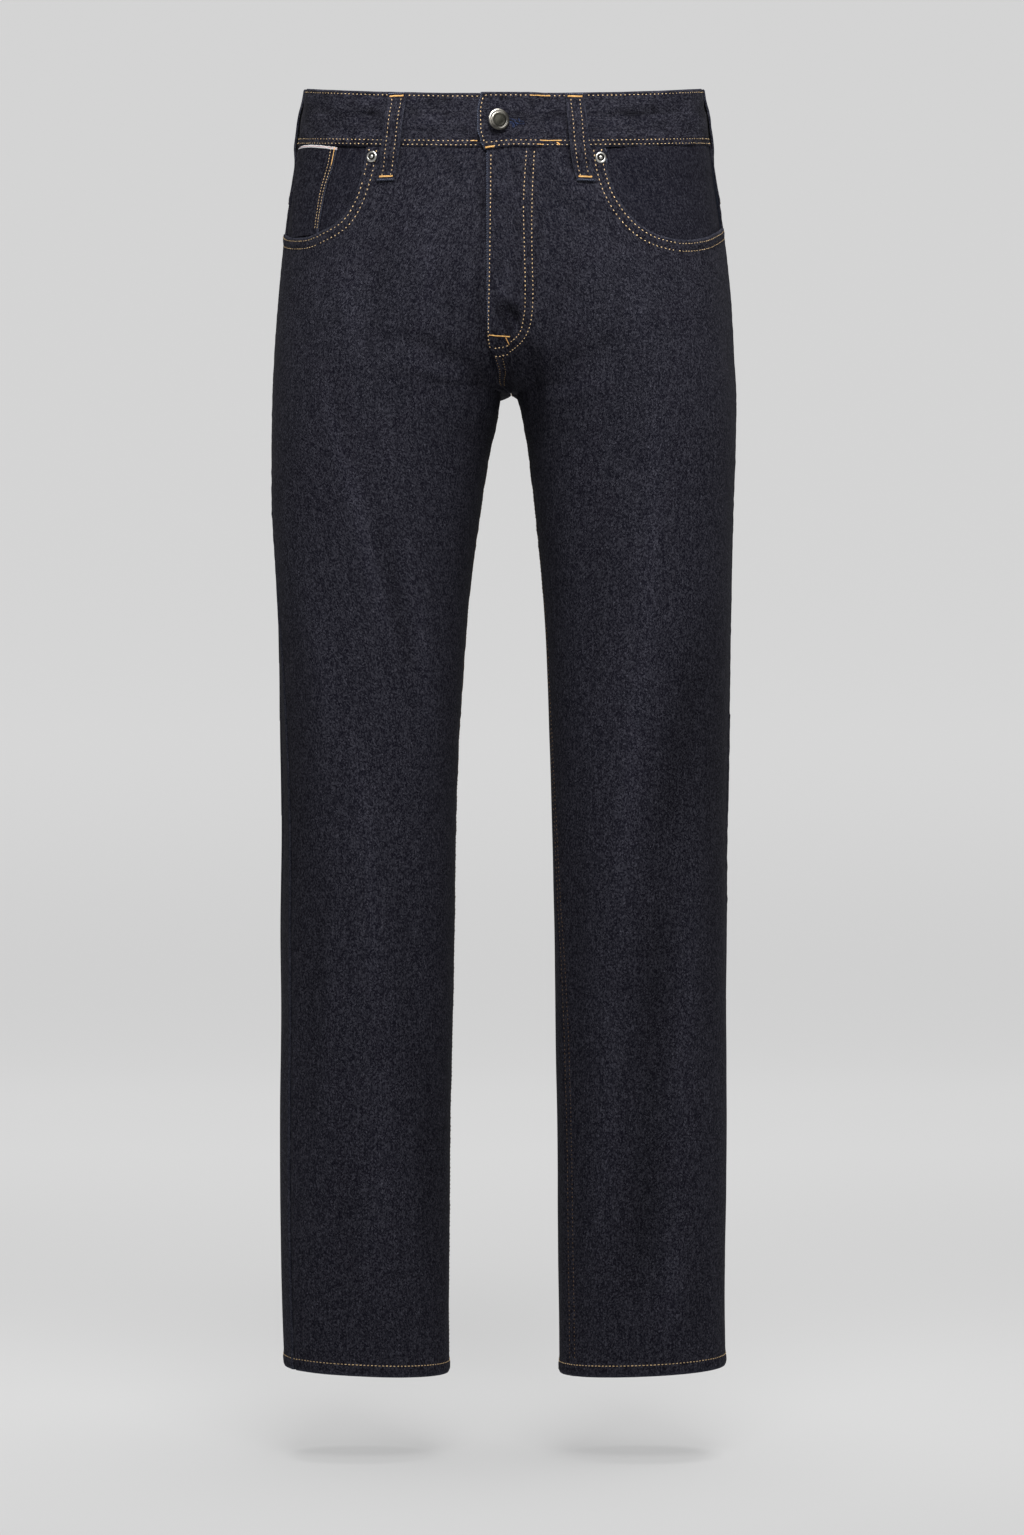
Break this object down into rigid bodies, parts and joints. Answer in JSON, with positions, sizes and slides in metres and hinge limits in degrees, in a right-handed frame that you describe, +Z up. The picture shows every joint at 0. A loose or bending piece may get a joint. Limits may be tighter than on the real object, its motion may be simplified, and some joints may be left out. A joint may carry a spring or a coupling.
{
  "type": "straight leg jeans",
  "caption": "Straight leg denim jeans in a hollow worn form: waistband with belt loops, button fly front, curved front pockets with coin pocket, back yoke and patch pockets, hemmed legs.",
  "frame": {"origin": "centre of the waist opening at half the height of the waistband", "axes": "+Z up along the garment, +X towards the wearer's left, -Y towards the front"},
  "size_m": [0.3862, 0.2615, 1.081],
  "materials": {
    "denim": "raw indigo twill",
    "selvedge_denim": "raw indigo twill with a woven edge",
    "button_metal": "satin nickel",
    "rivet_metal": "satin nickel"
  },
  "bodies": {
    "root": {"back_left": "denim", "back_right": "denim", "back_pocket_left": "denim", "back_pocket_right": "denim", "belt_loop_back": "denim", "belt_loop_front_left": "denim", "belt_loop_front_right": "denim", "belt_loop_side_left": "denim", "belt_loop_side_right": "denim", "front_left": "denim", "front_right": "denim", "hem_left": "denim", "hem_right": "denim", "pocket_facing_left": "denim", "pocket_facing_right": "denim", "waistband": "denim", "yoke_left": "denim", "yoke_right": "denim", "coin_pocket": "selvedge_denim", "button": "button_metal", "button_back": "button_metal", "rivet_left": "rivet_metal", "rivet_right": "rivet_metal", "rivet_back_left": "rivet_metal", "rivet_back_right": "rivet_metal"}
  },
  "joints": []
}
